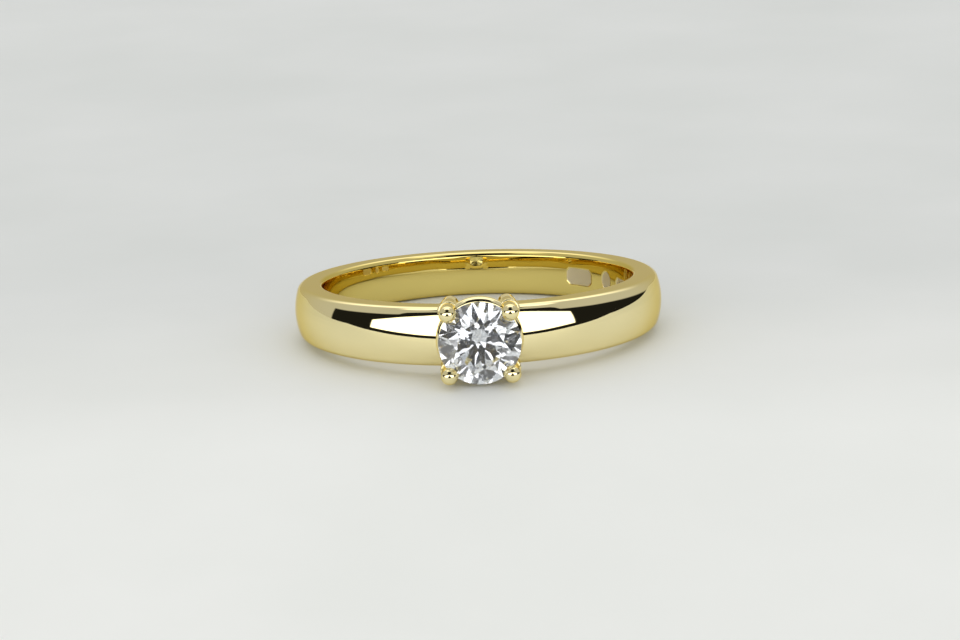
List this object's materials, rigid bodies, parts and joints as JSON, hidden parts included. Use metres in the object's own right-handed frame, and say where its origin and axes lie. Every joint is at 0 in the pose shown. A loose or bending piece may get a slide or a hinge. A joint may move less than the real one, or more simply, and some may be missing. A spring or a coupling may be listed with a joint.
{
  "type": "engagement ring",
  "caption": "Solitaire ring with a low-domed band, a four-claw head on two rails and one round faceted stone.",
  "frame": {"origin": "centre of the finger bore, half way across the band", "axes": "+Z along the finger bore, -Y out through the middle of the stone, X across the head"},
  "size_m": [0.0206, 0.0229, 0.0048],
  "materials": {
    "gold": "mirror-polished pale yellow gold",
    "solder": "polished gold solder",
    "stone": "clear colourless faceted stone"
  },
  "bodies": {
    "root": {"shank": "gold", "base_ring": "gold", "gallery_rail": "gold", "claw_upper_left": "gold", "claw_upper_right": "gold", "claw_lower_left": "gold", "claw_lower_right": "gold", "solder_upper_left": "solder", "solder_upper_right": "solder", "solder_lower_left": "solder", "solder_lower_right": "solder", "centre_stone": "stone"}
  },
  "joints": []
}
